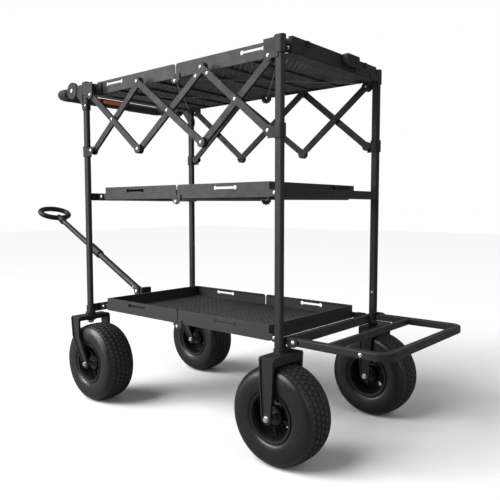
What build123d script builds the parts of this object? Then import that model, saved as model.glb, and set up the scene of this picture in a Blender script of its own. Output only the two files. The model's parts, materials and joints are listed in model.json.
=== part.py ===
from build123d import *
import os
from math import cos, radians, sin

# Folding three-tier game cart. Millimetres, +Z up, floor at Z = 0.
# X runs along the cart: the pull handle is at -X and the tailgate at +X.
# Inside this script X = 0 is the fold line; save() moves the whole cart so
# that the origin ends up under the middle of its bounding box.

# --- driving dimensions -----------------------------------------------------
POST_X = 420.0            # post centres, fore and aft
POST_Y = 247.0            # post centres, side to side
POST_W = 27.0             # flat-oval post tube along X
POST_T = 15.0             # flat-oval post tube along Y
POST_WALL = 1.5
POST_FEET = {-1: 299.0, 1: 281.0}   # front posts stand in the caster sockets
POST_TOP = 1079.0

HUB_Z = 124.0             # axle height in the drawing, before the lift
TYRE_R = 132.0            # outside radius of the balloon tyre
LIFT = TYRE_R - HUB_Z     # raises everything so that the tyres stand on z = 0
TYRE_HALF = 54.0
RIM_R = 66.0
AXLE_R = 6.0
FORK_IN = 57.0            # inner faces of the fork legs, from the wheel plane
FORK_T = 4.0
LEG_RIB = 3.5
REAR_AXLE_X = POST_X + 8.0
TRAIL = 54.0              # caster axle behind its kingpin
FRONT_AXLE_X = -POST_X + TRAIL
CROWN_Z = 277.0
CROWN_T = 4.0

TRAY_PIN_X = 382.0        # end pins of every tray half
TRAY_BOTTOMS = {"bottom": 298.0, "middle": 683.0, "top": 1044.0}
TRAY_H = 42.0
TRAY_Y = 216.5            # outer face of the side walls
SHEET = 2.0
DECK_T = 1.5
SLOT_LONG = 76.0          # dog-bone strap slots in the side walls
SLOT_HIGH = 7.0
SLOT_END_R = 6.5
SLOT_DROP = 13.5
END_PIN_UP = 11.0         # end pin above the wall's lower edge
MID_PIN_DOWN = 9.0        # middle pin below the wall's lower edge
PIN_R = 3.0
PIN_GAP = 0.08            # radial clearance of every running pin
TRAY_ENDS = {"bottom": 362.0, "middle": 362.0, "top": 398.0}
TOP_END_X = 435.0         # outer face of the fixed top end beams

LINK_END_X = 387.5        # end pivots of the scissor, inboard of the posts
LINK_MID_Z = 944.0
END_RISE = 93.0           # end pivots above and below the middle line
NODE_RISE = 104.0         # node pivots above and below the middle line
NODE_X = 142.0
LINK_W = 20.0
LINK_T = 8.0
LINK_IN_Y = 235.5         # inner link layer starts here
LINK_OUT_Y = 244.5        # outer link layer starts here
LUG_Y = 253.5             # lug plates outside both link layers
LUG_T = 3.0
KNUCKLE_R = 14.5

PULL_X = -453.0           # pull-handle hinge
PULL_Z = 334.0
PULL_RAKE = 26.2          # its angle above level as drawn, degrees
PUSH_X = -497.0           # push-handle hinge
PUSH_Z = 1064.0
PUSH_REACH = 112.0
PUSH_ARM_Y = 235.0
PUSH_TUBE_R = 9.0
PUSH_FOAM_R = 17.0
TUBE_WALL = 1.5
BAR_LOWS = (291.0, 681.0)  # undersides of the two cross tubes of each end
BAR_H = 25.0
GATE_X = 458.0            # tailgate hinge
GATE_Z = 311.0
GATE_Y = 225.0
GATE_END = 722.0
GATE_TUBE = 20.0
GATE_BAR_X = 554.0

GRIP_CENTRE = 672.0       # pull-grip centre along the handle
GRIP_LONG = 45.0
GRIP_WIDE = 65.0
GRIP_R = 11.0
GRIP_TIP = PULL_X - (GRIP_CENTRE + GRIP_LONG) * cos(radians(PULL_RAKE)) - GRIP_R
SHIFT_X = -(GRIP_TIP + GATE_END) / 2.0

SIDES = (-1, 1)


# --- helpers ----------------------------------------------------------------
def block(x0, x1, y0, y1, z0, z1):
    """Solid box between two corners."""
    size = Box(abs(x1 - x0), abs(y1 - y0), abs(z1 - z0))
    return Pos((x0 + x1) / 2, (y0 + y1) / 2, (z0 + z1) / 2) * size


def rod_y(x, z, y0, y1, radius):
    """Cylinder along Y."""
    body = Rot(90, 0, 0) * Cylinder(radius, abs(y1 - y0))
    return Pos(x, (y0 + y1) / 2, z) * body


def rod_z(x, y, z0, z1, radius):
    """Cylinder along Z."""
    return Pos(x, y, (z0 + z1) / 2) * Cylinder(radius, abs(z1 - z0))


def oval(x, y, z0, z1, width, depth):
    """Flat-oval bar along Z."""
    face = Plane.XY * SlotOverall(width, depth)
    return Pos(x, y, z0) * extrude(face, z1 - z0)


def turned_y(profile, x, y, z):
    """Revolve (radius, offset) points about an axis along Y."""
    face = Plane.XY * make_face(Polyline(profile, close=True))
    ring = revolve(face, Axis.Y, 360)
    return Pos(x, y, z) * ring


def rivet_y(x, z, y, side, radius=5.0, height=2.4):
    """Domed rivet head that points away from the cart on one side."""
    ball = (radius * radius + height * height) / (2 * height)
    head = Pos(x, y + side * (height - ball), z) * Sphere(ball)
    window = block(x - 9, x + 9, y, y + side * height, z - 9, z + 9)
    return head & window


def group(shapes):
    """Separate solids kept together as one node."""
    solids = []
    for shape in shapes:
        solids.extend(shape.solids())
    return Compound(solids)


def save(name, shape):
    moved = Pos(SHIFT_X, 0, LIFT) * shape
    export_step(moved, f"parts/{name}.step")


# --- frame ------------------------------------------------------------------
def post(end, side):
    x = end * POST_X
    y = side * POST_Y
    foot = POST_FEET[end]
    outer = oval(x, y, foot, POST_TOP, POST_W, POST_T)
    bore_w = POST_W - 2 * POST_WALL
    bore_t = POST_T - 2 * POST_WALL
    return outer - oval(x, y, foot, POST_TOP, bore_w, bore_t)


def post_cap(end, side):
    width = POST_W + 6.0
    cap = oval(end * POST_X, side * POST_Y, POST_TOP, POST_TOP + 6, width, POST_T + 6)
    top = cap.edges().group_by(Axis.Z)[-1]
    return fillet(top, 3.5)


def box_bar(end, z0, z1, half_y):
    """Hollow cross tube between the posts."""
    x = end * POST_X
    outer = block(x - 10, x + 10, -half_y, half_y, z0, z1)
    outer = fillet(outer.edges().filter_by(Axis.Y), 2.5)
    return outer - block(x - 8, x + 8, -half_y, half_y, z0 + 2, z1 - 2)


def top_beam(end):
    """Folded end panel of the top tray, fixed to the posts."""
    low = TRAY_BOTTOMS["top"]
    high = low + TRAY_H
    out = end * TOP_END_X
    inn = end * (TOP_END_X - SHEET)
    panel = block(inn, out, -TRAY_Y, TRAY_Y, low, high)
    lip = block(end * 422, out, -TRAY_Y, TRAY_Y, high - 2.5, high)
    foot = block(end * 422, out, -TRAY_Y, TRAY_Y, low, low + 2.5)
    foot += block(end * 400.6, out, -TRAY_Y + 3.2, TRAY_Y - 3.2, low, low + 2.5)
    step = block(out, out + end * 1.5, -170, 170, low + 2, low + 22)
    return panel + lip + foot + step


def top_bracket(end, side):
    """Sleeve round the post, outer lug for the scissor, inner plate for the tray."""
    x = end * POST_X
    y = side * POST_Y
    low = 1040.0
    high = POST_TOP
    sleeve = oval(x, y, low, high, POST_W + 6, POST_T + 6)
    ear_x = end * LINK_END_X
    ear_z = LINK_MID_Z + END_RISE
    y0 = side * LUG_Y
    y1 = side * (LUG_Y + LUG_T)
    ear = rod_y(ear_x, ear_z, y0, y1, 14)
    ear += block(ear_x - end * 14, x, y0, y1, ear_z, high)
    ear += block(ear_x, x, y0, y1, ear_z - 8, high)
    plate = block(end * 370, end * 432, side * 217.5, side * 221.5, 1046, 1080)
    web = block(end * 406, end * 416, side * 221.5, side * 237.5, 1046, high)
    wrap = block(end * TOP_END_X, end * (TOP_END_X + 2.5), side * 178, side * 221.5, 1045, 1064)
    wrap += block(end * 432, end * (TOP_END_X + 2.5), side * 217.5, side * 221.5, 1045, 1080)
    body = sleeve + ear + plate + web + wrap
    body -= oval(x, y, low - 15, high, POST_W, POST_T)
    return body


def top_pins(end, side):
    """Scissor stud and tray stud carried by the top bracket."""
    ear_x = end * LINK_END_X
    ear_z = LINK_MID_Z + END_RISE
    stud = rod_y(ear_x, ear_z, side * LINK_IN_Y, side * LUG_Y, PIN_R)
    head = rivet_y(ear_x, ear_z, side * (LUG_Y + LUG_T), side, 5.5)
    tray_z = TRAY_BOTTOMS["top"] + END_PIN_UP
    pin = rod_y(end * TRAY_PIN_X, tray_z, side * 214.5, side * 217.5, PIN_R)
    wide = rivet_y(end * 425, 1056, side * 221.5, side)
    extra = []
    if end < 0:
        extra.append(rivet_y(-POST_X + 8, 1003, side * (POST_Y + POST_T / 2 + 3), side, 4))
    return [stud, head, pin, wide] + extra


def tray_lug(end, side, low):
    """Plate on a cross tube that carries the end pin of a lower tray."""
    z = low + END_PIN_UP
    y0 = side * 217.0
    y1 = side * 221.0
    plate = rod_y(end * TRAY_PIN_X, z, y0, y1, 10)
    plate += block(end * TRAY_PIN_X, end * (POST_X - 10), y0, y1, z - 10, z + 10)
    pin = rod_y(end * TRAY_PIN_X, z, side * 212.5, y0, PIN_R)
    return plate + pin


def lug_rivets(end):
    heads = []
    for level in ("bottom", "middle"):
        z = TRAY_BOTTOMS[level] + END_PIN_UP
        for side in SIDES:
            heads.append(rivet_y(end * TRAY_PIN_X, z, side * 221, side, 5.5))
    return heads


# --- wheels -----------------------------------------------------------------
def tyre(x, side):
    """Open casing whose beads sit on the rim; the tread blocks are trim."""
    half = [(58.5, -40), (62.5, -45.6), (67, -47.4), (73, -50), (90, -53), (104, -TYRE_HALF)]
    half += [(116, -52), (123.5, -46), (128.5, -34), (131, -20), (TYRE_R, -10)]
    outer = half + [(r, -o) for r, o in reversed(half)]
    inner = [(58.5, 32), (78, 44), (98, 47), (114, 43), (122, 28), (124.5, 0)]
    inner += [(r, -o) for r, o in reversed(inner[:-1])]
    return turned_y(outer + inner, x, side * POST_Y, HUB_Z)


def rim(x, side):
    """Dished rim with five windows and a hub bored for two bearings."""
    y = side * POST_Y
    half = [(18, -30), (24, -30), (26, -16), (52, -8), (56, -40), (60, -49), (RIM_R, -50)]
    half += [(RIM_R, -47.5), (61.7, -46.2), (57.7, -40)]
    other = [(57.7, 40), (61.7, 46.2), (RIM_R, 47.5), (RIM_R, 50), (60, 49), (56, 40)]
    other += [(52, -2), (26, 8), (24, 30), (18, 30)]
    body = turned_y(half + other, x, y, HUB_Z)
    for k in range(5):
        angle = radians(72 * k + 18)
        window = rod_y(x + 39 * cos(angle), HUB_Z + 39 * sin(angle), y - 30, y + 30, 8.5)
        body -= window
    return body


def bearings(x, side):
    """One ball bearing pressed in each end of the hub, shown as closed rings."""
    rings = []
    for place in (-1, 1):
        y0 = side * POST_Y + place * 22
        y1 = side * POST_Y + place * 30
        ring = rod_y(x, HUB_Z, y0, y1, 18) - rod_y(x, HUB_Z, y0, y1, AXLE_R + PIN_GAP)
        rings.append(ring)
    return rings


def axle(x, side):
    """Through bolt with washers, spacers and a nut."""
    y = side * POST_Y
    reach = FORK_IN + FORK_T + 1.2
    bolt = rod_y(x, HUB_Z, y - reach, y + reach, AXLE_R)
    for place in (-1, 1):
        bolt += rod_y(x, HUB_Z, y + place * 30.4, y + place * FORK_IN, 9.5)
        bolt += rod_y(x, HUB_Z, y + place * reach, y + place * (reach + 1.5), 8)
        nut = extrude(Plane.XZ * RegularPolygon(6.2, 6), 4.5)
        low = y + place * (reach + 1.5) + (4.5 if place > 0 else 0)
        bolt += Pos(x, low, HUB_Z) * nut
    return bolt


def fork_leg(points, y0, y1):
    """Pressed leg: a plate between its outline points with two stiffening ribs."""
    face = Plane.XZ * make_face(Polyline(points, close=True))
    thick = abs(y1 - y0)
    return Pos(0, max(y0, y1), 0) * extrude(face, thick)


def leg_rib(edge, width, y0, y1):
    """Raised rib along one edge of a fork leg."""
    inner = [(x + width, z) for x, z in reversed(edge)]
    return fork_leg(edge + inner, y0, y1)


def fork(foot_x, axle_x, side, lean):
    """Folded crown and two legs from the post foot down to the axle."""
    y = side * POST_Y
    outer = FORK_IN + FORK_T
    mid_x = foot_x if lean else axle_x
    skirt_z = 267.0 if lean else 259.5
    knee = 212.0 if lean else 200.0
    knee_x = mid_x + (4 if lean else 0)
    body = block(mid_x - 24, mid_x + 24, y - outer, y + outer, CROWN_Z, CROWN_Z + CROWN_T)
    for edge in (-1, 1):
        body += block(mid_x + edge * 24, mid_x + edge * 21, y - outer, y + outer, skirt_z, CROWN_Z)
    front = [(mid_x - 23, CROWN_Z), (knee_x - 20, knee), (axle_x - 15, HUB_Z + 4)]
    rear = [(axle_x + 15, HUB_Z + 4), (knee_x + 20, knee), (mid_x + 23, CROWN_Z)]
    for place in (-1, 1):
        y0 = y + place * FORK_IN
        y1 = y + place * outer
        leg = fork_leg(front + rear, y0, y1)
        leg += rod_y(axle_x, HUB_Z, y0, y1, 15.5)
        leg += rod_y(axle_x, HUB_Z, y1, y1 + place * 1.2, 12)
        leg += leg_rib(front, LEG_RIB, y1, y1 + place * LEG_RIB)
        leg += leg_rib(rear, -LEG_RIB, y1, y1 + place * LEG_RIB)
        leg -= rod_y(axle_x, HUB_Z, y0 - 9 * place, y1 + 9 * place, AXLE_R)
        body += leg
    return body


def front_fork(side):
    body = fork(-POST_X, FRONT_AXLE_X, side, True)
    y = side * POST_Y
    body += rod_z(-POST_X, y, 262, CROWN_Z, 17)
    return body - rod_z(-POST_X, y, 262, CROWN_Z + CROWN_T, 6)


def kingpin(side):
    """Swivel bolt fixed in the fork; its shank turns in the socket above."""
    y = side * POST_Y
    pin = rod_z(-POST_X, y, 251.5, 296, 6)
    pin += rod_z(-POST_X, y, 254, 262, 11)
    return pin


def caster_socket(side):
    """Foot casting that closes the post and carries the swivel bolt."""
    y = side * POST_Y
    x = -POST_X
    body = rod_z(x, y, 281.4, 290, 17)
    body += oval(x, y, 290, 312, POST_W + 6, POST_T + 6)
    body -= rod_z(x, y, 281, 297, 6 + PIN_GAP)
    body -= oval(x, y, 299, 312, POST_W, POST_T)
    return body


def rear_fork(side):
    body = fork(POST_X, REAR_AXLE_X, side, False)
    y = side * POST_Y
    collar = oval(POST_X, y, 281, 290.5, POST_W + 5, POST_T + 5)
    return body + (collar - oval(POST_X, y, 281, 290.5, POST_W, POST_T))


# --- pull handle ------------------------------------------------------------
def along_pull(shape):
    """Place a shape drawn along +X from the hinge onto the raked handle."""
    return Pos(PULL_X, 0, PULL_Z) * Rot(0, 180 + PULL_RAKE, 0) * shape


def rod_x(x0, x1, radius):
    return Pos((x0 + x1) / 2, 0, 0) * Rot(0, 90, 0) * Cylinder(radius, x1 - x0)


def pull_clevis():
    """Two ears on the front cross tube, with the hinge bolt between them."""
    body = block(-POST_X - 14, -POST_X - 10, -27, 27, 296, 350)
    for side in SIDES:
        y0 = side * 17
        y1 = side * 21
        body += rod_y(PULL_X, PULL_Z, y0, y1, 13)
        body += block(PULL_X, -POST_X - 12, y0, y1, PULL_Z - 13, PULL_Z + 13)
    body += block(-POST_X - 10, -POST_X + 6, -22, 22, 316, 350)
    body += rod_y(PULL_X, PULL_Z, -17, 17, 5)
    return body


def pull_outer_tube():
    tube = rod_x(14, 345, 12.7) - rod_x(30, 346, 11.2)
    plug = rod_x(14, 32, 12)
    tongue = block(0, 20, -9, 9, -10, 10)
    eye = rod_y(0, 0, -15, 15, 12)
    bore = rod_y(0, 0, -16, 16, 5 + PIN_GAP)
    return along_pull(tube + plug + tongue + eye - bore)


def pull_collar():
    """Moulded clamp collar on the mouth of the outer tube."""
    body = rod_x(287, 360, 17)
    body = fillet(body.edges(), 3)
    body -= rod_x(286, 346, 12.7)
    body -= rod_x(345, 361, 11.1)
    return along_pull(body)


def pull_inner_tube():
    return along_pull(rod_x(256, 600, 11) - rod_x(256, 600, 9.5))


def pull_grip():
    """Closed loop grip on a tapered neck."""
    path = Plane.XY * Ellipse(GRIP_LONG, GRIP_WIDE)
    section = Plane.XZ * Pos(GRIP_LONG, 0) * Circle(GRIP_R)
    loop = sweep(section, path=path.edge())
    neck = Pos(-GRIP_LONG - 12, 0, 0) * Rot(0, 90, 0) * Cone(15, 12, 46)
    shape = Pos(GRIP_CENTRE, 0, 0) * (loop + neck)
    shape -= rod_x(580, 600.5, 11)
    return along_pull(shape)


# --- push handle ------------------------------------------------------------
def push_disc(side):
    """Fixed ratchet disc, its arm to the top bracket and the brace to the post."""
    disc = rod_y(PUSH_X, PUSH_Z, side * 245, side * 255, 29)
    disc = fillet(disc.edges(), 1.5)
    y0 = side * 246
    y1 = side * 252
    root = -POST_X - POST_W / 2 - 3.2
    arm = block(PUSH_X + 10, root, y0, y1, 1044, 1078)
    brace = fork_leg([(PUSH_X + 26, 1046), (root, 1046), (root, 1004)], y0, y1)
    band = oval(-POST_X, side * POST_Y, 990, 1016, POST_W + 6, POST_T + 6)
    band -= oval(-POST_X, side * POST_Y, 990, 1016, POST_W, POST_T)
    tab = block(root - 3, -POST_X - 15, y0, y1, 996, 1012)
    tab -= oval(-POST_X, side * POST_Y, 990, 1016, POST_W, POST_T)
    return disc + arm + brace + band + tab


def push_path(points):
    """Handle centre line with rounded corners."""
    return FilletPolyline(*points, radius=30)


def push_bar():
    """U-shaped handle tube with a toothed disc on each arm."""
    x = PUSH_X - PUSH_REACH
    z = PUSH_Z
    y = PUSH_ARM_Y
    points = [(PUSH_X, -y, z), (x, -y, z), (x, y, z), (PUSH_X, y, z)]
    start = Plane(origin=points[0], z_dir=(-1, 0, 0))
    ring = start * (Circle(PUSH_TUBE_R) - Circle(PUSH_TUBE_R - TUBE_WALL))
    bar = sweep(ring, path=push_path(points))
    for side in SIDES:
        bar += rod_y(PUSH_X, z, side * 224, side * 244.6, 22)
    return bar


def push_grip():
    """Foam sleeve round each corner of the handle, open in the middle."""
    x = PUSH_X - PUSH_REACH
    z = PUSH_Z
    sleeves = []
    for side in SIDES:
        y = side * PUSH_ARM_Y
        points = [(PUSH_X - 56, y, z), (x, y, z), (x, side * 64, z)]
        start = Plane(origin=points[0], z_dir=(-1, 0, 0))
        ring = start * (Circle(PUSH_FOAM_R) - Circle(PUSH_TUBE_R))
        sleeves.append(sweep(ring, path=push_path(points)))
        ferrule = Pos(PUSH_X - 43.5, y, z) * Rot(0, 90, 0) * Cylinder(15, 24)
        ferrule -= Pos(PUSH_X - 43.5, y, z) * Rot(0, 90, 0) * Cylinder(PUSH_TUBE_R, 24)
        sleeves.append(ferrule)
    return group(sleeves)


def release_housing():
    """Moulded shell round the middle of the handle, with a pocket for the button."""
    x = PUSH_X - PUSH_REACH
    z = PUSH_Z
    body = block(x - 15, x + 17, -63, 63, z - 15, z + 15)
    body = fillet(body.edges().filter_by(Axis.Y), 9)
    body -= rod_y(x, z, -64, 64, PUSH_TUBE_R)
    body -= block(x + 10, x + 18, -57.5, 57.5, z - 6.5, z + 6.5)
    return body


def release_button():
    """Long rounded button in the pocket of the housing."""
    x = PUSH_X - PUSH_REACH
    face = Plane.YZ * SlotOverall(113, 12)
    body = extrude(face, 8)
    body = fillet(body.faces().sort_by(Axis.X)[-1].edges(), 2)
    return Pos(x + 15, 0, PUSH_Z) * body


# --- tailgate ---------------------------------------------------------------
def tailgate():
    """Square-tube U frame with one cross bar."""
    y = GATE_Y
    z = GATE_Z
    end = GATE_END - GATE_TUBE / 2
    points = [(GATE_X, -y, z), (end, -y, z), (end, y, z), (GATE_X, y, z)]
    path = FilletPolyline(*points, radius=32)
    inner = GATE_TUBE - 2 * TUBE_WALL
    section = RectangleRounded(GATE_TUBE, GATE_TUBE, 3) - RectangleRounded(inner, inner, 1.5)
    frame = sweep(Plane(origin=points[0], z_dir=(1, 0, 0)) * section, path=path)
    bar = block(GATE_BAR_X - 8, GATE_BAR_X + 8, -y + 9, y - 9, z - 9, z + 9)
    frame += fillet(bar.edges().filter_by(Axis.Y), 3)
    for side in SIDES:
        frame += rod_y(GATE_X, z, side * (y - 10), side * (y + 10), 10)
        frame -= rod_y(GATE_X, z, side * (y - 12), side * (y + 12), 4 + PIN_GAP)
    return frame


def gate_bracket(side):
    """Ear bolted to the post foot and the cross tube, with the hinge stud."""
    y0 = side * 235.5
    y1 = side * 238.5
    ear = rod_y(GATE_X, GATE_Z, y0, y1, 13)
    ear += block(POST_X + 14, GATE_X, y0, y1, GATE_Z - 13, GATE_Z + 13)
    ear += block(POST_X + 10.2, POST_X + 20, side * 205, y1, 292, GATE_Z + 12)
    ear += rod_y(GATE_X, GATE_Z, side * 214, y0, 4)
    return ear


# --- latches ----------------------------------------------------------------
def latch(x, y, z):
    """Moulded block with a wire bail, screwed to the outside of an end wall."""
    body = block(x, x + 16, y - 34, y + 34, z - 16, z + 16)
    body = fillet(body.edges().filter_by(Axis.X), 4)
    points = [(x + 8, y + 20, z - 12), (x + 8, y + 20, z - 26), (x + 8, y + 44, z - 26),
              (x + 8, y + 44, z + 4), (x + 8, y + 32, z + 4)]
    wire = Plane(origin=points[0], z_dir=(0, 0, -1)) * Circle(1.6)
    return body + sweep(wire, path=FilletPolyline(*points, radius=5))


def strap_clip(x, y, z):
    """Small folded clip over the top edge of the end beam."""
    clip = block(x, x + 3, y - 7, y + 7, z - 14, z + 2)
    stud = Pos(x + 3, y, z - 4) * Rot(0, 90, 0) * Cylinder(3, 4)
    return clip + stud


def top_latch():
    z = TRAY_BOTTOMS["top"] + TRAY_H
    pieces = [latch(TOP_END_X + 1.5, 53, z - 14)]
    for y in (-149, 149):
        pieces.append(strap_clip(TOP_END_X, y, z - 2))
    return group(pieces)


def middle_latch():
    z = TRAY_BOTTOMS["middle"] + TRAY_H
    return latch(TRAY_ENDS["middle"], 128, z - 18)


# --- trays ------------------------------------------------------------------
def dogbone(x, z, side):
    """Strap slot with round ends cut through a side wall."""
    y0 = side * (TRAY_Y - 12)
    y1 = side * (TRAY_Y + 2)
    half = SLOT_LONG / 2
    cut = block(x - half, x + half, y0, y1, z - SLOT_HIGH / 2, z + SLOT_HIGH / 2)
    for end in (-1, 1):
        cut += rod_y(x + end * half, z, y0, y1, SLOT_END_R)
    return cut


def tray_half(level, end):
    """One half of a folding tray; end is -1 for the front and 1 for the rear."""
    low = TRAY_BOTTOMS[level]
    high = low + TRAY_H
    out = TRAY_ENDS[level]
    slot_x = 303.0 if level == "top" else 201.0
    y = TRAY_Y
    tray = block(end * 2, end * out, -y, y, low + 5, low + 5 + DECK_T)
    if level != "top":
        tray += block(end * (out - SHEET), end * out, -y, y, low, high)
        tray += block(end * (out - 9), end * out, -y, y, high - 2.5, high)
    for k in range(1, 4):
        rib_x = out * k / 4
        tray += block(end * (rib_x - 1), end * (rib_x + 1), -y, y, low, low + 5)
        tray += block(end * (rib_x - 8), end * (rib_x + 1), -y, y, low, low + DECK_T)
    for side in SIDES:
        wall = block(end * 2, end * out, side * (y - SHEET), side * y, low, high)
        corner = wall.edges().filter_by(Axis.Y).group_by(Axis.Z)[-1].sort_by(Axis.X)
        wall = fillet(corner[0] if end > 0 else corner[-1], 9)
        wall += block(end * 12, end * out, side * (y - 9), side * y, high - 2.5, high)
        wall -= dogbone(end * slot_x, high - SLOT_DROP, side)
        tray += wall
        tray += tray_ear(level, end, side)
        tray += tray_knuckle(level, end, side)
        for bore in tray_bores(level, end, side):
            tray -= bore
    return tray


def tray_ear(level, end, side):
    """Rounded extension of the side wall round the end pin."""
    z = TRAY_BOTTOMS[level] + END_PIN_UP
    y0 = side * (TRAY_Y - SHEET)
    y1 = side * TRAY_Y
    ear = rod_y(end * TRAY_PIN_X, z, y0, y1, 9)
    return ear + block(end * (TRAY_PIN_X - 25), end * TRAY_PIN_X, y0, y1, z - 9, z + 9)


def tray_knuckle(level, end, side):
    """Tab that drops from the wall to the middle pin; the rear one lies outside."""
    low = TRAY_BOTTOMS[level]
    z = low - MID_PIN_DOWN
    inner = TRAY_Y - SHEET if end < 0 else TRAY_Y + 0.4
    outer = TRAY_Y if end < 0 else TRAY_Y + 3.4
    tab = rod_y(0, z, side * inner, side * outer, 8.5)
    tab += block(end * 3, end * 20, side * inner, side * outer, z, low + 3)
    tab += block(0, end * 14, side * inner, side * outer, z - 6, z + 6)
    if end > 0:
        tab += block(3, 20, side * (TRAY_Y - 1), side * outer, low + 1, low + 12)
    return tab


def tray_bores(level, end, side):
    """Pin holes of one side; the middle pin turns in the rear half."""
    low = TRAY_BOTTOMS[level]
    radius = PIN_R + PIN_GAP
    y0 = side * (TRAY_Y - 9)
    y1 = side * (TRAY_Y + 9)
    holes = [rod_y(end * TRAY_PIN_X, low + END_PIN_UP, y0, y1, radius)]
    if end > 0:
        holes.append(rod_y(0, low - MID_PIN_DOWN, y0, y1, radius))
    return holes


def tray_mid_pins(level):
    """Hinge pins of one tray, fixed in the front half."""
    z = TRAY_BOTTOMS[level] - MID_PIN_DOWN
    pins = []
    for side in SIDES:
        pin = rod_y(0, z, side * 209.5, side * (TRAY_Y + 3.8), PIN_R)
        pin += rivet_y(0, z, side * (TRAY_Y + 3.8), side)
        pins.append(pin)
    return pins


# --- scissor ----------------------------------------------------------------
def link(start, finish, layer, side):
    """Flat tube link with a round moulded knuckle at each end."""
    y0 = side * layer
    y1 = side * (layer + LINK_T)
    run_x = finish[0] - start[0]
    run_z = finish[1] - start[1]
    length = (run_x ** 2 + run_z ** 2) ** 0.5
    ux = run_x / length
    uz = run_z / length
    half = LINK_W / 2
    corners = []
    for along, across in ((9, -half), (length - 9, -half), (length - 9, half), (9, half)):
        corners.append((start[0] + ux * along - uz * across, start[1] + uz * along + ux * across))
    body = fork_leg(corners, y0, y1)
    for centre in (start, finish):
        body += rod_y(centre[0], centre[1], y0, y1, KNUCKLE_R)
    return body


def bored(shape, points, side, radius=PIN_R + PIN_GAP):
    for x, z in points:
        shape -= rod_y(x, z, side * (LINK_IN_Y - 4), side * (LUG_Y + 6), radius)
    return shape


def cross_x():
    """Where the end links cross, on the straight line between their pivots."""
    slope = (END_RISE + NODE_RISE) / (LINK_END_X - NODE_X)
    return LINK_END_X - END_RISE / slope


def link_points(end):
    """Named pivot points of one end of the scissor."""
    mid = LINK_MID_Z
    return {
        "end_up": (end * LINK_END_X, mid + END_RISE),
        "end_low": (end * LINK_END_X, mid - END_RISE),
        "cross": (end * cross_x(), mid),
        "node_up": (end * NODE_X, mid + NODE_RISE),
        "node_low": (end * NODE_X, mid - NODE_RISE),
        "far_up": (-end * NODE_X, mid + NODE_RISE),
        "centre": (0.0, mid),
    }


def hanger_link(end, side):
    """Link that hangs from the top bracket; it carries the cross pivot pin."""
    p = link_points(end)
    layer = LINK_OUT_Y if end < 0 else LINK_IN_Y
    body = link(p["end_up"], p["node_low"], layer, side)
    return bored(body, [p["end_up"]], side)


def slider_link(end, side):
    """Link that stands on the slider."""
    p = link_points(end)
    layer = LINK_IN_Y if end < 0 else LINK_OUT_Y
    body = link(p["end_low"], p["node_up"], layer, side)
    return bored(body, [p["end_low"], p["cross"]], side)


def middle_link(end, side):
    """Link from the low node of one end to the high node of the other."""
    p = link_points(end)
    layer = LINK_IN_Y if end < 0 else LINK_OUT_Y
    body = link(p["node_low"], p["far_up"], layer, side)
    return bored(body, [p["node_low"]], side)


def pivot_pin(point, own_layer, side):
    """Rivet fixed in one link, through the link in the other layer."""
    inner = LINK_IN_Y - 1.0
    outer = LINK_OUT_Y + LINK_T
    x, z = point
    if own_layer == LINK_OUT_Y:
        shank = rod_y(x, z, side * inner, side * LINK_OUT_Y, PIN_R)
    else:
        shank = rod_y(x, z, side * (LINK_IN_Y + LINK_T), side * outer, PIN_R)
    return [shank, rivet_y(x, z, side * outer, side)]


def hanger_group(end):
    p = link_points(end)
    layer = LINK_OUT_Y if end < 0 else LINK_IN_Y
    pieces = []
    for side in SIDES:
        shape = hanger_link(end, side)
        for point in (p["cross"], p["node_low"]):
            for piece in pivot_pin(point, layer, side):
                shape += piece
        pieces.append(shape)
    return group(pieces)


def slider_group(end):
    p = link_points(end)
    top = LINK_OUT_Y + LINK_T
    pieces = []
    for side in SIDES:
        shape = slider_link(end, side)
        if end > 0:
            shape += rivet_y(p["node_up"][0], p["node_up"][1], side * top, side)
        pieces.append(shape)
    return group(pieces)


def middle_group(end):
    p = link_points(end)
    top = LINK_OUT_Y + LINK_T
    pieces = []
    for side in SIDES:
        shape = middle_link(end, side)
        if end > 0:
            shape += rivet_y(p["far_up"][0], p["far_up"][1], side * top, side)
            shape += rivet_y(p["centre"][0], p["centre"][1], side * top, side)
        pieces.append(shape)
    return group(pieces)


def slider_collar(end, side):
    """Moulded sleeve that slides on the post, with an ear for the link."""
    x = end * POST_X
    y = side * POST_Y
    p = link_points(end)["end_low"]
    low = p[1] - 20
    high = p[1] + 16
    body = oval(x, y, low, high, POST_W + 7, POST_T + 7)
    ear = rod_y(p[0], p[1], side * LUG_Y, side * (LUG_Y + LUG_T), 12)
    ear += block(p[0], x, side * LUG_Y, side * (LUG_Y + LUG_T), low, p[1] + 10)
    body += ear
    body -= oval(x, y, low, high, POST_W + 0.6, POST_T + 0.6)
    inner = LINK_IN_Y if end < 0 else LINK_OUT_Y
    body += rod_y(p[0], p[1], side * inner, side * LUG_Y, PIN_R)
    return body + rivet_y(p[0], p[1], side * (LUG_Y + LUG_T), side)


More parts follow.
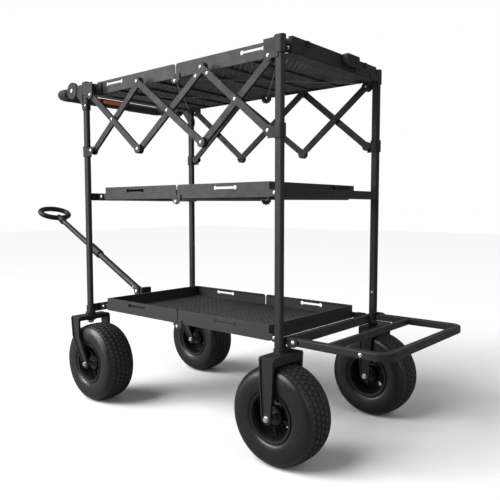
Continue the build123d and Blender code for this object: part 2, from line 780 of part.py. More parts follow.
# --- build ------------------------------------------------------------------
def build():
    os.makedirs("parts", exist_ok=True)
    side_names = {-1: "left", 1: "right"}
    end_names = {-1: "front", 1: "rear"}
    axle_places = {-1: FRONT_AXLE_X, 1: REAR_AXLE_X}

    for end in (-1, 1):
        name = end_names[end]
        for side in SIDES:
            save(f"{name}_{side_names[side]}_post", post(end, side))
        bars = []
        for low in BAR_LOWS:
            in_socket = end < 0 and low < 300
            half_y = POST_Y - POST_T / 2 - (3.3 if in_socket else 0.1)
            bars.append(box_bar(end, low, low + BAR_H, half_y))
        save(f"{name}_crossbars", group(bars))
        save(f"{name}_top_beam", top_beam(end))
        save(f"{name}_top_brackets", group([top_bracket(end, s) for s in SIDES]))
        pins = []
        for side in SIDES:
            pins.extend(top_pins(end, side))
        save(f"{name}_frame_rivets", group(pins + lug_rivets(end)))
        save(f"{name}_post_caps", group([post_cap(end, s) for s in SIDES]))
        lugs = []
        for side in SIDES:
            for level in ("bottom", "middle"):
                lugs.append(tray_lug(end, side, TRAY_BOTTOMS[level]))
        save(f"{name}_tray_lugs", group(lugs))
        save(f"{name}_hanger_links", hanger_group(end))
        save(f"{name}_slider_links", slider_group(end))
        save(f"{name}_middle_links", middle_group(end))
        save(f"{name}_sliders", group([slider_collar(end, s) for s in SIDES]))
        for side in SIDES:
            label = f"{name}_{side_names[side]}"
            x = axle_places[end]
            save(f"{label}_tyre", tyre(x, side))
            wheel = [rim(x, side)] + bearings(x, side)
            save(f"{label}_rim", group(wheel))

    for side in SIDES:
        label = side_names[side]
        save(f"front_{label}_fork", front_fork(side))
        bolts = [kingpin(side), axle(FRONT_AXLE_X, side)]
        save(f"front_{label}_fork_bolts", group(bolts))
        save(f"rear_{label}_fork", rear_fork(side))
    save("rear_axle_bolts", group([axle(REAR_AXLE_X, s) for s in SIDES]))
    save("caster_sockets", group([caster_socket(s) for s in SIDES]))

    for level in TRAY_BOTTOMS:
        front = [tray_half(level, -1)] + tray_mid_pins(level)
        save(f"{level}_tray_front", group(front))
        save(f"{level}_tray_rear", tray_half(level, 1))

    save("pull_clevis", pull_clevis())
    save("pull_outer_tube", pull_outer_tube())
    save("pull_collar", pull_collar())
    save("pull_inner_tube", pull_inner_tube())
    save("pull_grip", pull_grip())
    save("push_discs", group([push_disc(s) for s in SIDES]))
    save("push_bar", push_bar())
    save("push_grip", push_grip())
    save("release_housing", release_housing())
    save("release_button", release_button())
    save("top_latch", top_latch())
    save("middle_latch", middle_latch())
    save("tailgate", tailgate())
    save("tailgate_brackets", group([gate_bracket(s) for s in SIDES]))


build()
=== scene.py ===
"""Looks for the folding game cart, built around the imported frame."""
import json
from math import atan2, cos, pi, radians, sin

import bmesh
import bpy
from mathutils import Matrix, Vector


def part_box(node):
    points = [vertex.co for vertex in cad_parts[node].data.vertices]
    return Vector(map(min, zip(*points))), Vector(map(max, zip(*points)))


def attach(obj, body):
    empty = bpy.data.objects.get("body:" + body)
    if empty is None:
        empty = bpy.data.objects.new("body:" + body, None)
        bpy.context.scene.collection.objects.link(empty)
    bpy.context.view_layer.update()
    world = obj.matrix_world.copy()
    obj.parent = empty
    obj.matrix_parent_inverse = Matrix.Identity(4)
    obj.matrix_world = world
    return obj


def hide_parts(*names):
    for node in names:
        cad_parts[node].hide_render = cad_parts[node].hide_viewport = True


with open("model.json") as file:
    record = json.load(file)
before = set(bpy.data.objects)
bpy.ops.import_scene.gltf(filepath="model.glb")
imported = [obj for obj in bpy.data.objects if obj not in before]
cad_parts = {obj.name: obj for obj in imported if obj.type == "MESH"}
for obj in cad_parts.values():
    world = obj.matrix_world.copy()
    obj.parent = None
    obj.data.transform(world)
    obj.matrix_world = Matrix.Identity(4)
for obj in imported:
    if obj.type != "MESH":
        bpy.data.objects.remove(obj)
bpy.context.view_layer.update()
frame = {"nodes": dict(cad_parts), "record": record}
scene = bpy.context.scene
scene.view_settings.view_transform = "Standard"
SIDE = {"left": -1, "right": 1}
END = {"front": -1, "rear": 1}


def middle(node):
    low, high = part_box(node)
    return (low + high) / 2


# --- measures, in metres, from the frame --------------------------------------
POST_Y = middle("rear_right_post").y
POST_F = middle("front_left_post").x
POST_R = middle("rear_left_post").x
CENTRE_X = (POST_F + POST_R) / 2
LIFT = middle("rear_left_rim").z - 0.124
MID_Z = 0.944 + LIFT
LINK_END = 0.3875
NODE_X = 0.142
NODE_RISE = 0.104
END_RISE = 0.093
CROSS_X = LINK_END - END_RISE * (LINK_END - NODE_X) / (END_RISE + NODE_RISE)
LINK_FACE = 0.2525
PULL = Vector((CENTRE_X - 0.453, 0, 0.334 + LIFT))
PULL_RAKE = radians(26.2)
PUSH = Vector((CENTRE_X - 0.497, 0, 1.064 + LIFT))
DECK_TOPS = {"bottom": 0.3045, "middle": 0.6895, "top": 1.0505}
DECK_ENDS = {"bottom": 0.362, "middle": 0.362, "top": 0.398}
HINGE_HEIGHTS = {"bottom": 0.289, "middle": 0.674, "top": 1.035}
SHEET = 0.0015
WALL_Y = 0.2145


# --- materials ----------------------------------------------------------------
class Shade:
    """Small helper that wires one procedural material."""

    def __init__(self, name):
        self.mat = bpy.data.materials.new(name)
        self.mat.use_nodes = True
        self.tree = self.mat.node_tree
        self.bsdf = self.tree.nodes["Principled BSDF"]
        self.where = self.node("ShaderNodeTexCoord").outputs["Object"]

    def node(self, kind, **values):
        made = self.tree.nodes.new(kind)
        for key, value in values.items():
            if hasattr(made, key):
                setattr(made, key, value)
            else:
                made.inputs[key].default_value = value
        return made

    def join(self, a, b):
        self.tree.links.new(a, b)

    def noise(self, scale, detail=3.0, stretch=None):
        made = self.node("ShaderNodeTexNoise", Scale=scale, Detail=detail)
        source = self.where
        if stretch:
            mapping = self.node("ShaderNodeMapping")
            mapping.inputs["Scale"].default_value = stretch
            self.join(self.where, mapping.inputs["Vector"])
            source = mapping.outputs["Vector"]
        self.join(source, made.inputs["Vector"])
        return made.outputs["Fac"]

    def ramp(self, value, stops):
        made = self.node("ShaderNodeValToRGB")
        line = made.color_ramp
        while len(line.elements) < len(stops):
            line.elements.new(0.5)
        for element, (place, colour) in zip(line.elements, stops):
            element.position = place
            element.color = (*colour, 1) if len(colour) == 3 else colour
        self.join(value, made.inputs["Fac"])
        return made.outputs["Color"]

    def spread(self, value, low, high):
        made = self.node("ShaderNodeMapRange")
        made.inputs["From Min"].default_value = 0.3
        made.inputs["From Max"].default_value = 0.7
        made.inputs["To Min"].default_value = low
        made.inputs["To Max"].default_value = high
        self.join(value, made.inputs["Value"])
        return made.outputs["Result"]

    def mix(self, factor, a, b):
        made = self.node("ShaderNodeMix", data_type="RGBA")
        if isinstance(factor, float):
            made.inputs[0].default_value = factor
        else:
            self.join(factor, made.inputs[0])
        for socket, value in ((6, a), (7, b)):
            if isinstance(value, tuple):
                made.inputs[socket].default_value = (*value, 1)
            else:
                self.join(value, made.inputs[socket])
        return made.outputs[2]

    def maths(self, operation, a, b=None):
        made = self.node("ShaderNodeMath", operation=operation)
        for index, value in enumerate((a, b)):
            if value is None:
                continue
            if isinstance(value, (int, float)):
                made.inputs[index].default_value = value
            else:
                self.join(value, made.inputs[index])
        return made.outputs[0]

    def rounded(self, radius):
        """Normal with softened edges, and a mask of where the edges are."""
        soft = self.node("ShaderNodeBevel", samples=6)
        soft.inputs["Radius"].default_value = radius
        plain = self.node("ShaderNodeNewGeometry").outputs["Normal"]
        turned = self.node("ShaderNodeVectorMath", operation="DOT_PRODUCT")
        self.join(soft.outputs[0], turned.inputs[0])
        self.join(plain, turned.inputs[1])
        edge = self.maths("SUBTRACT", 1.0, turned.outputs["Value"])
        return soft.outputs[0], self.maths("MULTIPLY", edge, 5.0)

    def bump(self, height, strength, distance, normal=None):
        made = self.node("ShaderNodeBump", Strength=strength, Distance=distance)
        self.join(height, made.inputs["Height"])
        if normal is not None:
            self.join(normal, made.inputs["Normal"])
        return made.outputs["Normal"]

    def finish(self, colour, rough, normal, **fixed):
        if isinstance(colour, tuple):
            self.bsdf.inputs["Base Color"].default_value = (*colour, 1)
        else:
            self.join(colour, self.bsdf.inputs["Base Color"])
        self.join(rough, self.bsdf.inputs["Roughness"])
        self.join(normal, self.bsdf.inputs["Normal"])
        for key, value in fixed.items():
            self.bsdf.inputs[key].default_value = value
        return self.mat


def grey(value):
    return (value, value * 1.005, value * 1.02)


def coated(name, base, rough, grain=0.35):
    """Powder coat: fine orange peel, slight drift of tone, rubbed edges."""
    s = Shade(name)
    edge_normal, edge = s.rounded(0.0012)
    drift_stops = [(0.3, grey(base * 0.82)), (0.7, grey(base * 1.18))]
    speck_stops = [(0.35, grey(base * 0.8)), (0.75, grey(base * 1.35))]
    drift = s.ramp(s.noise(9.0, 4.0), drift_stops)
    speck = s.ramp(s.noise(900.0, 2.0), speck_stops)
    tone = s.mix(0.4, drift, speck)
    rub = s.maths("MULTIPLY", edge, s.spread(s.noise(60.0, 3.0), 0.0, 1.0))
    tone = s.mix(s.maths("MINIMUM", rub, 0.5), tone, grey(base * 2.6))
    roughness = s.spread(s.noise(35.0, 4.0), rough - 0.07, rough + 0.07)
    peel = s.bump(s.noise(700.0, 2.0), grain, 0.0004, edge_normal)
    return s.finish(tone, roughness, peel, **{"Specular IOR Level": 0.28})


def plated(name, base, rough):
    """Zinc plate: bright metal with faint turning marks and duller patches."""
    s = Shade(name)
    edge_normal, edge = s.rounded(0.0004)
    tone = s.ramp(s.noise(300.0, 3.0), [(0.3, grey(base * 0.8)), (0.7, grey(base))])
    roughness = s.spread(s.noise(160.0, 3.0), rough - 0.08, rough + 0.12)
    marks = s.bump(s.noise(1500.0, 2.0), 0.2, 0.0002, edge_normal)
    return s.finish(tone, roughness, marks, Metallic=1.0)


def moulded(name, base, rough, grain=0.5, spark=600.0):
    """Textured plastic with worn corners."""
    s = Shade(name)
    edge_normal, edge = s.rounded(0.0012)
    tone = s.ramp(s.noise(25.0, 3.0), [(0.3, tuple(c * 0.82 for c in base)), (0.7, base)])
    worn = tuple(min(1.0, c * 1.8 + 0.01) for c in base)
    tone = s.mix(s.maths("MINIMUM", edge, 0.4), tone, worn)
    roughness = s.spread(s.noise(50.0, 3.0), rough - 0.06, rough + 0.08)
    grains = s.bump(s.noise(spark, 2.0), grain, 0.0003, edge_normal)
    return s.finish(tone, roughness, grains, **{"Specular IOR Level": 0.3})


def rubber(name):
    """Tyre rubber: glossy sidewall; the duller tread is painted lighter, partly as dust and partly
    as painted sheen.
    """
    s = Shade(name)
    split = s.node("ShaderNodeSeparateXYZ")
    s.join(s.where, split.inputs[0])
    squares = s.maths("POWER", split.outputs["X"], 2.0)
    squares = s.maths("ADD", squares, s.maths("POWER", split.outputs["Z"], 2.0))
    radius = s.maths("SQRT", squares)
    outer = s.node("ShaderNodeMapRange")
    outer.inputs["From Min"].default_value = 0.1235
    outer.inputs["From Max"].default_value = 0.1285
    s.join(radius, outer.inputs["Value"])
    tread = outer.outputs["Result"]
    drift = s.noise(45.0, 4.0)
    wall = s.ramp(drift, [(0.3, grey(0.003)), (0.7, grey(0.006))])
    # lighter tread tone: partly dust, partly a painted sheen standing in for light on the tread
    dust_and_painted_sheen = s.ramp(s.noise(260.0, 4.0), [(0.3, grey(0.010)), (0.7, grey(0.024))])
    tone = s.mix(tread, wall, dust_and_painted_sheen)
    wall_rough = s.spread(s.noise(70.0, 3.0), 0.27, 0.4)
    rough = s.maths("ADD", wall_rough, s.maths("MULTIPLY", tread, 0.24))
    rings = s.node("ShaderNodeTexWave", wave_type="RINGS", rings_direction="Y", Scale=110.0)
    s.join(s.where, rings.inputs["Vector"])
    fine = s.maths("MULTIPLY", rings.outputs["Fac"], 0.15)
    height = s.maths("ADD", s.noise(800.0, 3.0), fine)
    return s.finish(tone, rough, s.bump(height, 0.12, 0.0004))


def foamed(name):
    """Closed-cell foam: dull skin full of fine pores."""
    s = Shade(name)
    tone = s.ramp(s.noise(60.0, 4.0), [(0.3, grey(0.006)), (0.7, grey(0.012))])
    pores = s.node("ShaderNodeTexVoronoi", Scale=900.0)
    s.join(s.where, pores.inputs["Vector"])
    rough = s.spread(s.noise(120.0, 3.0), 0.7, 0.88)
    normal = s.bump(pores.outputs["Distance"], 0.5, 0.0006)
    return s.finish(tone, rough, normal, **{"Sheen Weight": 0.15})


def glossy(name, base):
    """Smooth coloured moulding with faint flow marks."""
    s = Shade(name)
    edge_normal, edge = s.rounded(0.0012)
    tone = s.ramp(s.noise(30.0, 3.0), [(0.3, tuple(c * 0.86 for c in base)), (0.7, base)])
    roughness = s.spread(s.noise(40.0, 3.0), 0.2, 0.34)
    flow = s.bump(s.noise(220.0, 2.0, (1, 0.2, 1)), 0.08, 0.0004, edge_normal)
    return s.finish(tone, roughness, flow, **{"Coat Weight": 0.3, "Coat Roughness": 0.15})


FRAME_COAT = coated("frame_coat", 0.017, 0.46)
SHEET_COAT = coated("sheet_coat", 0.034, 0.48, 0.3)
ZINC = plated("zinc_plate", 0.72, 0.33)
WIRE = plated("wire_steel", 0.32, 0.4)
TYRE = rubber("tyre_rubber")
RIM = moulded("rim_plastic", grey(0.007), 0.38, 0.25)
PLASTIC = moulded("moulded_plastic", grey(0.012), 0.5)
FOAM = foamed("grip_foam")
ORANGE = glossy("orange_plastic", (0.9, 0.16, 0.025))
BY_SLOT = {
    "frame_steel": FRAME_COAT, "tray_steel": SHEET_COAT, "zinc": ZINC, "tyre": TYRE,
    "rim": RIM, "black_plastic": PLASTIC, "foam": FOAM, "orange_plastic": ORANGE,
}
for part in frame["record"]["subparts"]:
    holder = frame["nodes"][part["node"]]
    holder.data.materials.clear()
    holder.data.materials.append(BY_SLOT[part["material_slot"]])


# --- mesh helpers -------------------------------------------------------------
def smooth_by_angle(mesh, limit=0.6):
    for face in mesh.polygons:
        face.use_smooth = True
    work = bmesh.new()
    work.from_mesh(mesh)
    for edge in work.edges:
        edge.smooth = len(edge.link_faces) == 2 and edge.calc_face_angle(0.0) < limit
    work.to_mesh(mesh)
    work.free()


def piece(name, work, body, material, place=None):
    """Turn a bmesh into an object that rides on a body."""
    bmesh.ops.recalc_face_normals(work, faces=work.faces)
    mesh = bpy.data.meshes.new(name)
    work.to_mesh(mesh)
    work.free()
    mesh.materials.append(material)
    smooth_by_angle(mesh)
    made = bpy.data.objects.new(name, mesh)
    scene.collection.objects.link(made)
    if place is not None:
        made.location = place
    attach(made, body)
    return made


def skin(work, rings):
    """Quads between each ring of corners and the next."""
    for a, b in zip(rings, rings[1:]):
        count = len(a)
        for k in range(count):
            n = (k + 1) % count
            work.faces.new((a[k], a[n], b[n], b[k]))


def close_ends(work, rings):
    work.faces.new(rings[0])
    work.faces.new(list(reversed(rings[-1])))


def lathe(work, profile, count, turn=None):
    """Rings of a (radius, along) profile turned round the local Z axis."""
    turn = turn or Matrix.Identity(4)
    rings = []
    for radius, along in profile:
        ring = []
        for k in range(count):
            angle = 2 * pi * k / count
            spot = turn @ Vector((radius * cos(angle), radius * sin(angle), along))
            ring.append(work.verts.new(spot))
        rings.append(ring)
    skin(work, rings)
    return rings


def capped(work, profile, count, turn=None):
    """A turned shape with both ends closed."""
    close_ends(work, lathe(work, profile, count, turn))


def facing(spot, direction):
    """Matrix that puts local Z along a direction at a point."""
    turn = Vector(direction).normalized().to_track_quat("Z", "Y").to_matrix().to_4x4()
    return Matrix.Translation(spot) @ turn


def dome(work, spot, direction, radius, height):
    """Rivet head: a low skirt, a dome and a shallow dimple."""
    profile = [(radius, 0), (radius * 1.0, height * 0.22)]
    for k in range(1, 6):
        a = k / 6 * pi / 2
        profile.append((radius * cos(a) * 0.97, height * (0.22 + 0.78 * sin(a))))
    profile.append((radius * 0.22, height * 0.96))
    profile.append((radius * 0.08, height * 0.8))
    capped(work, profile, 20, facing(spot, direction))


def tube(work, points, radius, count=10):
    """Round bar through points, mitred at the bends."""
    rings = []
    last = len(points) - 1
    up = Vector((0, 0, 1))
    for i, point in enumerate(points):
        before = (point - points[max(i - 1, 0)]).normalized()
        after = (points[min(i + 1, last)] - point).normalized()
        along = (before + after).normalized()
        side = along.cross(up)
        if side.length < 1e-4:
            side = along.cross(Vector((1, 0, 0)))
        side.normalize()
        top = side.cross(along).normalized()
        ring = []
        for k in range(count):
            a = 2 * pi * k / count
            ring.append(work.verts.new(point + side * radius * cos(a) + top * radius * sin(a)))
        rings.append(ring)
    skin(work, rings)
    close_ends(work, rings)


def rounded_path(corners, radius, steps=10):
    """Points along straight runs with arcs at the inner corners."""
    path = [corners[0]]
    for before, corner, after in zip(corners, corners[1:], corners[2:]):
        a = (before - corner).normalized()
        b = (after - corner).normalized()
        half = a.angle(b) / 2
        reach = radius / max(0.01, abs(sin(half) / cos(half)))
        start = corner + a * reach
        end = corner + b * reach
        centre = corner + (a + b).normalized() * (radius / sin(half))
        for k in range(steps + 1):
            t = k / steps
            spot = start.lerp(end, t) - centre
            path.append(centre + spot.normalized() * radius)
    path.append(corners[-1])
    return path


# --- tyres --------------------------------------------------------------------
# each row of tread blocks: distance from the middle, outer radius, lean in radians
ROWS = [(0.0, 0.1318, 0.0), (0.0174, 0.1311, 0.08), (0.0346, 0.1281, 0.26)]
BLOCKS_ROUND = 52
BLOCK_WIDE = 0.0146
BLOCK_TALL = 0.0038
BLOCK_SHARE = 0.84


def tread_block(work, angle, across, radius, lean, wide, long, tall):
    """One tread block: a tapered pad sunk in the casing."""
    outward = Vector((cos(angle), 0, sin(angle)))
    round_ = Vector((-sin(angle), 0, cos(angle)))
    side = Vector((0, 1, 0))
    sway = 1 if across >= 0 else -1
    up = (outward * cos(lean) + side * sway * sin(lean)).normalized()
    flat = (side * cos(lean) - outward * sway * sin(lean)).normalized()
    top = outward * radius + side * across
    levels = [(0.0, 0.84), (0.0006, 0.97), (tall, 1.0)]
    rings = []
    for depth, share in levels:
        ring = []
        for a, b in ((-1, -1), (1, -1), (1, 1), (-1, 1)):
            spot = top - up * depth + flat * a * wide * share / 2 + round_ * b * long * share / 2
            ring.append(work.verts.new(spot))
        rings.append(ring)
    skin(work, rings)
    work.faces.new(rings[0])


def casing_profile():
    """Bead, bulged sidewall and crown as (radius, across)."""
    half = [(0.0588, -0.0405), (0.0622, -0.0455), (0.0655, -0.0474), (0.0680, -0.0474)]
    half += [(0.0692, -0.0486), (0.0706, -0.0502), (0.0735, -0.0516), (0.0780, -0.0527)]
    half += [(0.0850, -0.0535), (0.0930, -0.0539), (0.1010, -0.0539), (0.1080, -0.0532)]
    half += [(0.1140, -0.0517), (0.1185, -0.0496), (0.1222, -0.0468), (0.1245, -0.0438)]
    half += [(0.1260, -0.0400), (0.1273, -0.0330), (0.1282, -0.0230), (0.1287, -0.0110)]
    return half + [(0.1289, 0.0)] + [(r, -o) for r, o in reversed(half)]


def build_tyre(name, centre, body, node):
    """Casing with tread blocks, in place of the plain packed tyre."""
    work = bmesh.new()
    turn = facing((0, 0, 0), (0, 1, 0))
    lathe(work, casing_profile(), 120, turn)
    pitch = 2 * pi / BLOCKS_ROUND
    for row, (across, radius, lean) in enumerate(ROWS):
        sways = (1,) if row == 0 else (-1, 1)
        long = radius * pitch * BLOCK_SHARE
        for k in range(BLOCKS_ROUND):
            angle = (k + 0.5 * (row % 2)) * pitch
            for sway in sways:
                tread_block(work, angle, sway * across, radius, lean, BLOCK_WIDE, long, BLOCK_TALL)
    made = piece(name, work, body, TYRE, centre)
    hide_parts(node)


for end in END:
    for side in SIDE:
        label = end + "_" + side
        hub = middle(label + "_rim")
        build_tyre(label + "_treaded_tyre", hub, label + "_wheel", label + "_tyre")
        # moulded rim ribs and the valve stem
        work = bmesh.new()
        out = SIDE[side]
        for k in range(5):
            angle = radians(72 * k + 54)
            inner = Vector((0.026 * cos(angle), out * 0.0235, 0.026 * sin(angle)))
            outer = Vector((0.0540 * cos(angle), out * 0.0150, 0.0540 * sin(angle)))
            tube(work, [inner, inner.lerp(outer, 0.5), outer], 0.0035, 8)
        stem = [Vector((0.045, out * 0.008, 0.0)), Vector((0.0475, out * 0.03, 0.0))]
        tube(work, stem, 0.003, 10)
        piece(label + "_rim_ribs", work, label + "_wheel", RIM, hub)


# --- trays --------------------------------------------------------------------
END_BORDER = 0.020
SIDE_BORDER = 0.016
HOLE_PITCH = 0.0106
HOLE_RADIUS = 0.0036
WIRE_DROP = 0.0068
WIRE_RADIUS = 0.0017
WIRE_Y = 0.205


def hole_ring(work, x, y, z, radius):
    """Eight corners of a round hole, between the axes."""
    ring = []
    for k in range(8):
        a = 2 * pi * (k + 0.5) / 8
        ring.append(work.verts.new((x + radius * cos(a), y + radius * sin(a), z)))
    return ring


def perforated(work, x0, x1, y0, y1, top, bottom, pitch, radius):
    """Sheet of square cells, each with a punched hole, inside a plain border."""
    nx = int((x1 - x0) / pitch)
    ny = int((y1 - y0) / pitch)
    sx = (x1 - x0) / nx
    sy = (y1 - y0) / ny
    for z, flip in ((top, 1), (bottom, -1)):
        grid = [[work.verts.new((x0 + i * sx, y0 + j * sy, z)) for j in range(ny + 1)]
                for i in range(nx + 1)]
        for i in range(nx):
            for j in range(ny):
                corners = (grid[i][j], grid[i + 1][j], grid[i + 1][j + 1], grid[i][j + 1])
                if (i + j) % 2:
                    work.faces.new(corners if flip > 0 else tuple(reversed(corners)))
                    continue
                cx = x0 + (i + 0.5) * sx
                cy = y0 + (j + 0.5) * sy
                ring = hole_ring(work, cx, cy, z, radius)
                work.faces.new((corners[2], corners[3], ring[2], ring[1], ring[0]))
                work.faces.new((corners[3], corners[0], ring[4], ring[3], ring[2]))
                work.faces.new((corners[0], corners[1], ring[6], ring[5], ring[4]))
                work.faces.new((corners[1], corners[2], ring[0], ring[7], ring[6]))
                lip = hole_ring(work, cx, cy, z - flip * (top - bottom) / 2, radius * 0.9)
                skin(work, [ring, lip])


def level_faces(work, heights):
    """Flat faces of a mesh that lie at any of the given heights."""
    found = []
    for face in work.faces:
        spots = [v.co.z for v in face.verts]
        flat = max(spots) - min(spots) < 1e-5
        if flat and any(abs(spots[0] - height) < 2e-5 for height in heights):
            found.append(face)
    return found


def corner_ring(work, x0, x1, y0, y1, z):
    return [work.verts.new((x, y, z)) for x, y in ((x0, y0), (x1, y0), (x1, y1), (x0, y1))]


def brace_wires(name, body, x0, x1, z):
    """Two crossed wires under the deck."""
    work = bmesh.new()
    near, far = x0 + 0.01, x1 - 0.012
    for y in (-WIRE_Y, WIRE_Y):
        tube(work, [Vector((near, y, z)), Vector((far, -y, z))], WIRE_RADIUS, 8)
    piece(name, work, body, WIRE)


def build_tray(level, end):
    """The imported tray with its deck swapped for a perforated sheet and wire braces."""
    node = f"{level}_tray_{end}"
    body = f"{level}_{end}_half"
    deck_top = DECK_TOPS[level] + LIFT
    deck_low = deck_top - SHEET
    ends = (CENTRE_X + END[end] * 0.002, CENTRE_X + END[end] * (DECK_ENDS[level] - 0.002))
    x0, x1 = sorted(ends)
    px0, px1 = x0 + END_BORDER, x1 - END_BORDER
    py0, py1 = -WALL_Y + SIDE_BORDER, WALL_Y - SIDE_BORDER
    work = bmesh.new()
    work.from_mesh(frame["nodes"][node].data)
    bmesh.ops.remove_doubles(work, verts=work.verts, dist=1e-6)
    bmesh.ops.delete(work, geom=level_faces(work, (deck_top, deck_low)), context="FACES")
    perforated(work, px0, px1, py0, py1, deck_top, deck_low, HOLE_PITCH, HOLE_RADIUS)
    for z in (deck_top, deck_low):
        outer = corner_ring(work, x0, x1, -WALL_Y, WALL_Y, z)
        skin(work, [outer, corner_ring(work, px0, px1, py0, py1, z)])
    mesh = bpy.data.meshes.new(node + "_perforated")
    work.to_mesh(mesh)
    work.free()
    mesh.materials.append(SHEET_COAT)
    for face in mesh.polygons:
        face.use_smooth = False
    made = bpy.data.objects.new(node + "_perforated", mesh)
    scene.collection.objects.link(made)
    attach(made, body)
    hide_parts(node)
    brace_wires(node + "_brace_wires", body, x0, x1, deck_low - WIRE_DROP)


for level in ("bottom", "middle", "top"):
    for end in END:
        build_tray(level, end)


# --- push handle: foam and ferrules -------------------------------------------
ARM_Y = 0.235
BAR_REACH = 0.112       # from the hinge line to the cross bar
FOAM_START = 0.056
FOAM_INNER_Y = 0.0645
FOAM_BEND = 0.030
FOAM_STEP = 0.006
FOAM_RADIUS = 0.0168
FOAM_SIDES = 28
FERRULE_START = 0.033


def foam_centres(sway):
    """Evenly spaced points from the arm, round the corner and along the cross bar."""
    bar_x = PUSH.x - BAR_REACH
    corners = [Vector((PUSH.x - FOAM_START, sway * ARM_Y, PUSH.z)),
               Vector((bar_x, sway * ARM_Y, PUSH.z)),
               Vector((bar_x, sway * FOAM_INNER_Y, PUSH.z))]
    path = rounded_path(corners, FOAM_BEND, 14)
    run = []
    for a, b in zip(path, path[1:]):
        steps = max(1, int((b - a).length / FOAM_STEP))
        for k in range(steps):
            run.append(a.lerp(b, k / steps))
    run.append(path[-1])
    return run


def foam_sleeve(work, run, sway):
    """Soft round sleeve with pulled-in ends and a slightly uneven skin."""
    total = len(run) - 1
    end_drops = {0: 0.0022, 1: 0.0005}
    rings = []
    for i, point in enumerate(run):
        along = (run[min(i + 1, total)] - run[max(i - 1, 0)]).normalized()
        side_dir = along.cross(Vector((0, 0, 1))).normalized()
        radius = FOAM_RADIUS - end_drops.get(min(i, total - i), 0)
        radius += 0.00018 * sin(i * 1.7) + 0.00012 * sin(i * 0.53 + sway)
        ring = []
        for k in range(FOAM_SIDES):
            a = 2 * pi * k / FOAM_SIDES
            spot = point + side_dir * radius * cos(a) + Vector((0, 0, radius * sin(a)))
            ring.append(work.verts.new(spot))
        rings.append(ring)
    skin(work, rings)
    close_ends(work, rings)


def ferrule(work, sway):
    """Four ribs round the arm, between the disc and the foam."""
    core, root, rib = 0.0095, 0.0128, 0.0148
    profile = [(core, 0.0)]
    for k in range(4):
        base = 0.0005 + k * 0.0055
        profile += [(root, base), (rib, base + 0.0008), (rib, base + 0.0035), (root, base + 0.0043)]
    profile.append((core, 0.0218))
    spot = Vector((PUSH.x - FERRULE_START, sway * ARM_Y, PUSH.z))
    capped(work, profile, 32, facing(spot, (-1, 0, 0)))


foams = bmesh.new()
ferrules = bmesh.new()
for sway in (-1, 1):
    foam_sleeve(foams, foam_centres(sway), sway)
    ferrule(ferrules, sway)
foam = piece("push_foam", foams, "push_handle", FOAM)
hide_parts("push_grip")
piece("push_ferrules", ferrules, "push_handle", PLASTIC)


# --- rivets and other zinc trim -----------------------------------------------
def rivets(name, body, spots, radius=0.0053, height=0.0027):
    work = bmesh.new()
    for spot, direction in spots:
        dome(work, Vector(spot), direction, radius, height)
    return piece(name, work, body, ZINC)


CROSS_FACE = 0.2435
SLIDE_FACE = 0.2565
HINGE_FACE = 0.2203
TIP_INSET = 0.034       # rivet of a link's end plug, measured back along the link
GATE_X = CENTRE_X + 0.458
GATE_Z = 0.311 + LIFT
GATE_FACE = 0.2385
LATCH_BACK = 0.03


def both_sides(x, face, z):
    """The same spot on the left and right faces, each with its outward direction."""
    return [((x, s * face, z), (0, s, 0)) for s in (-1, 1)]


def plug_spot(x, slope, toward):
    """Where the rivet of a link's upper end plug sits, in x and z."""
    return x + toward * TIP_INSET * cos(slope), MID_Z + NODE_RISE - TIP_INSET * sin(slope)


HIGH_Z = MID_Z + NODE_RISE
LOW_Z = MID_Z - NODE_RISE
RISER_SLOPE = atan2(END_RISE + NODE_RISE, LINK_END - NODE_X)
CROSS_SLOPE = atan2(NODE_RISE, NODE_X)
for end, e in END.items():
    node_x = CENTRE_X + e * NODE_X
    far_x = CENTRE_X - e * NODE_X
    hangers = both_sides(CENTRE_X + e * CROSS_X, LINK_FACE, MID_Z)
    hangers += both_sides(node_x, LINK_FACE, LOW_Z)
    rivets(end + "_hanger_rivets", end + "_hangers", hangers)
    if end == "rear":
        x, z = plug_spot(node_x, RISER_SLOPE, e)
        risers = both_sides(x, LINK_FACE, z) + both_sides(node_x, LINK_FACE, HIGH_Z)
        rivets("rear_riser_rivets", "rear_risers", risers)
        crossers = both_sides(far_x, LINK_FACE, HIGH_Z)
        crossers += both_sides(CENTRE_X, LINK_FACE, MID_Z)
    else:
        x, z = plug_spot(far_x, CROSS_SLOPE, e)
        crossers = both_sides(x, CROSS_FACE, z)
    rivets(end + "_crosser_rivets", end + "_crossers", crossers)
    slides = both_sides(CENTRE_X + e * LINK_END, SLIDE_FACE, MID_Z - END_RISE)
    rivets(end + "_slide_rivets", end + "_slides", slides)

for level, height in HINGE_HEIGHTS.items():
    spots = both_sides(CENTRE_X, HINGE_FACE, height + LIFT)
    rivets(level + "_hinge_rivets", level + "_front_half", spots)

rivets("push_disc_rivets", "front_frame", both_sides(PUSH.x, 0.255, PUSH.z), 0.0072, 0.003)
rivets("pull_hinge_rivets", "front_frame", both_sides(PULL.x, 0.021, PULL.z), 0.0075, 0.003)
rivets("gate_hinge_rivets", "rear_frame", both_sides(GATE_X, GATE_FACE, GATE_Z), 0.0062, 0.003)
rivets("gate_bracket_screws", "rear_frame",
       both_sides(CENTRE_X + 0.4375, GATE_FACE, 0.3005 + LIFT), 0.004, 0.002)
rivets("gate_arm_rivets", "gate", both_sides(CENTRE_X + 0.650, ARM_Y, GATE_Z), 0.0056, 0.0026)
rivets("post_snap_button", "rear_frame",
       [((POST_R, POST_Y - 0.0075, 0.385 + LIFT), (0, -1, 0))], 0.0042, 0.003)
latch_spot = PULL + Vector((-LATCH_BACK * cos(PULL_RAKE), -0.0125, LATCH_BACK * sin(PULL_RAKE)))
rivets("pull_latch_pin", "pull_handle", [(latch_spot, (0, -1, 0))], 0.0035, 0.0028)


# --- floor, light and camera ----------------------------------------------------
FLOOR_REACH = 14.0
FLOOR_Z = -0.0005
VIEW_SPOT = Vector((1.3198, -1.4095, 0.6537))
VIEW_TILT = 85.86
VIEW_TURN = 40.66

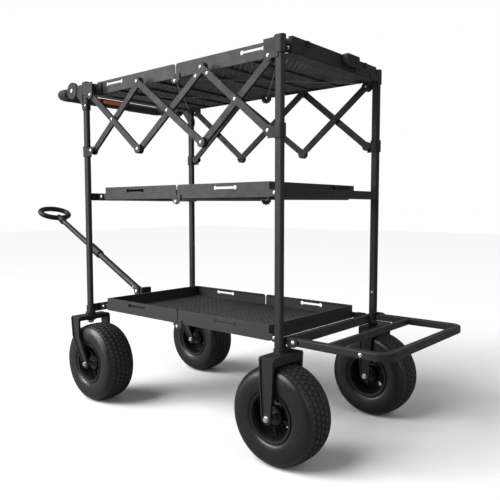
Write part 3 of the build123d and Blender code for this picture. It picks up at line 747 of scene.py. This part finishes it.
floor = bmesh.new()
floor.faces.new(corner_ring(floor, -FLOOR_REACH, FLOOR_REACH, -FLOOR_REACH, FLOOR_REACH, FLOOR_Z))
floor_mesh = bpy.data.meshes.new("floor")
floor.to_mesh(floor_mesh)
floor.free()
floor_object = bpy.data.objects.new("floor", floor_mesh)
scene.collection.objects.link(floor_object)

# the floor looks pale but throws little light back, so undersides stay dark
pale = bpy.data.materials.new("pale_floor")
pale.use_nodes = True
paint_tree = pale.node_tree
paint_shader = paint_tree.nodes["Principled BSDF"]
paint_shader.inputs["Roughness"].default_value = 0.9
first_hit = paint_tree.nodes.new("ShaderNodeLightPath")
paint = paint_tree.nodes.new("ShaderNodeMix")
paint.data_type = "RGBA"
paint.inputs[6].default_value = (0.28, 0.28, 0.28, 1)
paint.inputs[7].default_value = (0.90, 0.90, 0.90, 1)
paint_tree.links.new(first_hit.outputs["Is Camera Ray"], paint.inputs[0])
paint_tree.links.new(paint.outputs[2], paint_shader.inputs["Base Color"])
floor_mesh.materials.append(pale)

# the backdrop is white to the camera and a dim fill light to everything else
world = bpy.data.worlds.new("studio")
scene.world = world
world.use_nodes = True
sky = world.node_tree
soft = sky.nodes["Background"]
soft.inputs["Color"].default_value = (1, 1, 1, 1)
soft.inputs["Strength"].default_value = 0.26
plain = sky.nodes.new("ShaderNodeBackground")
plain.inputs["Color"].default_value = (1, 1, 1, 1)
plain.inputs["Strength"].default_value = 1.0
seen = sky.nodes.new("ShaderNodeLightPath")
either = sky.nodes.new("ShaderNodeMixShader")
sky.links.new(seen.outputs["Is Camera Ray"], either.inputs[0])
sky.links.new(soft.outputs[0], either.inputs[1])
sky.links.new(plain.outputs[0], either.inputs[2])
sky.links.new(either.outputs[0], sky.nodes["World Output"].inputs["Surface"])


def area_light(name, spot, target, size, power):
    """Rectangular lamp at a spot, aimed at a target."""
    data = bpy.data.lights.new(name, "AREA")
    data.shape = "RECTANGLE"
    data.size, data.size_y = size
    data.energy = power
    lamp = bpy.data.objects.new(name, data)
    lamp.location = spot
    aim = Vector(target) - Vector(spot)
    lamp.rotation_euler = aim.to_track_quat("-Z", "Y").to_euler()
    scene.collection.objects.link(lamp)
    return lamp


sun = bpy.data.lights.new("soft_sun", "SUN")
sun.energy = 3.7
sun.angle = radians(45)
sun_lamp = bpy.data.objects.new("soft_sun", sun)
sun_lamp.rotation_euler = Vector((0.36, 0.62, -0.70)).to_track_quat("-Z", "Y").to_euler()
scene.collection.objects.link(sun_lamp)
area_light("key", (-2.2, -2.8, 1.3), (0.1, 0, 0.5), (0.9, 2.2), 70)
area_light("edge", (3.4, -0.4, 1.9), (0.5, 0, 0.6), (0.7, 1.8), 14)

lens = bpy.data.cameras.new("view")
lens.sensor_width = 36.0
lens.lens = 41.54
lens.clip_end = 60.0
camera = bpy.data.objects.new("view", lens)
camera.location = VIEW_SPOT + Vector((CENTRE_X, 0, LIFT))
camera.rotation_euler = (radians(VIEW_TILT), 0, radians(VIEW_TURN))
scene.collection.objects.link(camera)
scene.camera = camera
